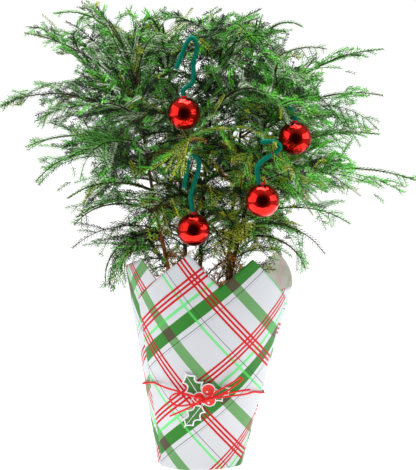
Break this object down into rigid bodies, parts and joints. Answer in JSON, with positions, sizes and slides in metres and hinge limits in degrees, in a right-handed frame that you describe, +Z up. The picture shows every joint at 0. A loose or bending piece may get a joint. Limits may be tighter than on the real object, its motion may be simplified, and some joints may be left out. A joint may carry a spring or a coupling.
{
  "type": "potted norfolk island pine",
  "caption": "Young Norfolk Island pine clump with arching needled arms, in a nursery pot inside a flared zigzag-topped paper sleeve with a holly tag tied on by a string bow.",
  "frame": {"origin": "middle of the pot's flat underside, where it stands", "axes": "+Z up along the stems, -Y the front with the tag and bow, +X to the right seen from the front"},
  "size_m": [0.5097, 0.3778, 0.5791],
  "materials": {
    "pot": "satin",
    "potting_mix": "matte",
    "wrap_paper": "satin",
    "tag_card": "matte",
    "tie_string": "matte",
    "bark": "matte",
    "twig": "matte",
    "needles": "satin",
    "bauble": "polished",
    "chenille": "matte"
  },
  "bodies": {
    "root": {"bough_a4": "twig", "bough_a6": "twig", "bough_b4": "twig", "bough_b7": "twig", "bough_c3": "twig", "bough_c5": "twig", "bough_d3": "twig", "bough_d4": "twig", "bough_e3": "twig", "bough_e4": "twig", "foliage_a1": "needles", "foliage_a2": "needles", "foliage_a3": "needles", "foliage_a4": "needles", "foliage_a5": "needles", "foliage_a6": "needles", "foliage_a7": "needles", "foliage_a8": "needles", "foliage_b1": "needles", "foliage_b2": "needles", "foliage_b3": "needles", "foliage_b4": "needles", "foliage_b5": "needles", "foliage_b6": "needles", "foliage_b7": "needles", "foliage_b8": "needles", "foliage_b9": "needles", "foliage_c1": "needles", "foliage_c2": "needles", "foliage_c3": "needles", "foliage_c4": "needles", "foliage_c5": "needles", "foliage_c6": "needles", "foliage_c7": "needles", "foliage_c8": "needles", "foliage_d1": "needles", "foliage_d2": "needles", "foliage_d3": "needles", "foliage_d4": "needles", "foliage_d5": "needles", "foliage_d6": "needles", "foliage_d7": "needles", "foliage_d8": "needles", "foliage_e1": "needles", "foliage_e2": "needles", "foliage_e3": "needles", "foliage_e4": "needles", "foliage_e5": "needles", "foliage_e6": "needles", "foliage_e7": "needles", "gift_wrap": "wrap_paper", "holly_tag": "tag_card", "pot": "pot", "soil": "potting_mix", "stem_a": "bark", "stem_b": "bark", "stem_c": "bark", "stem_d": "bark", "stem_e": "bark", "tie_string": "tie_string"}
  },
  "joints": []
}
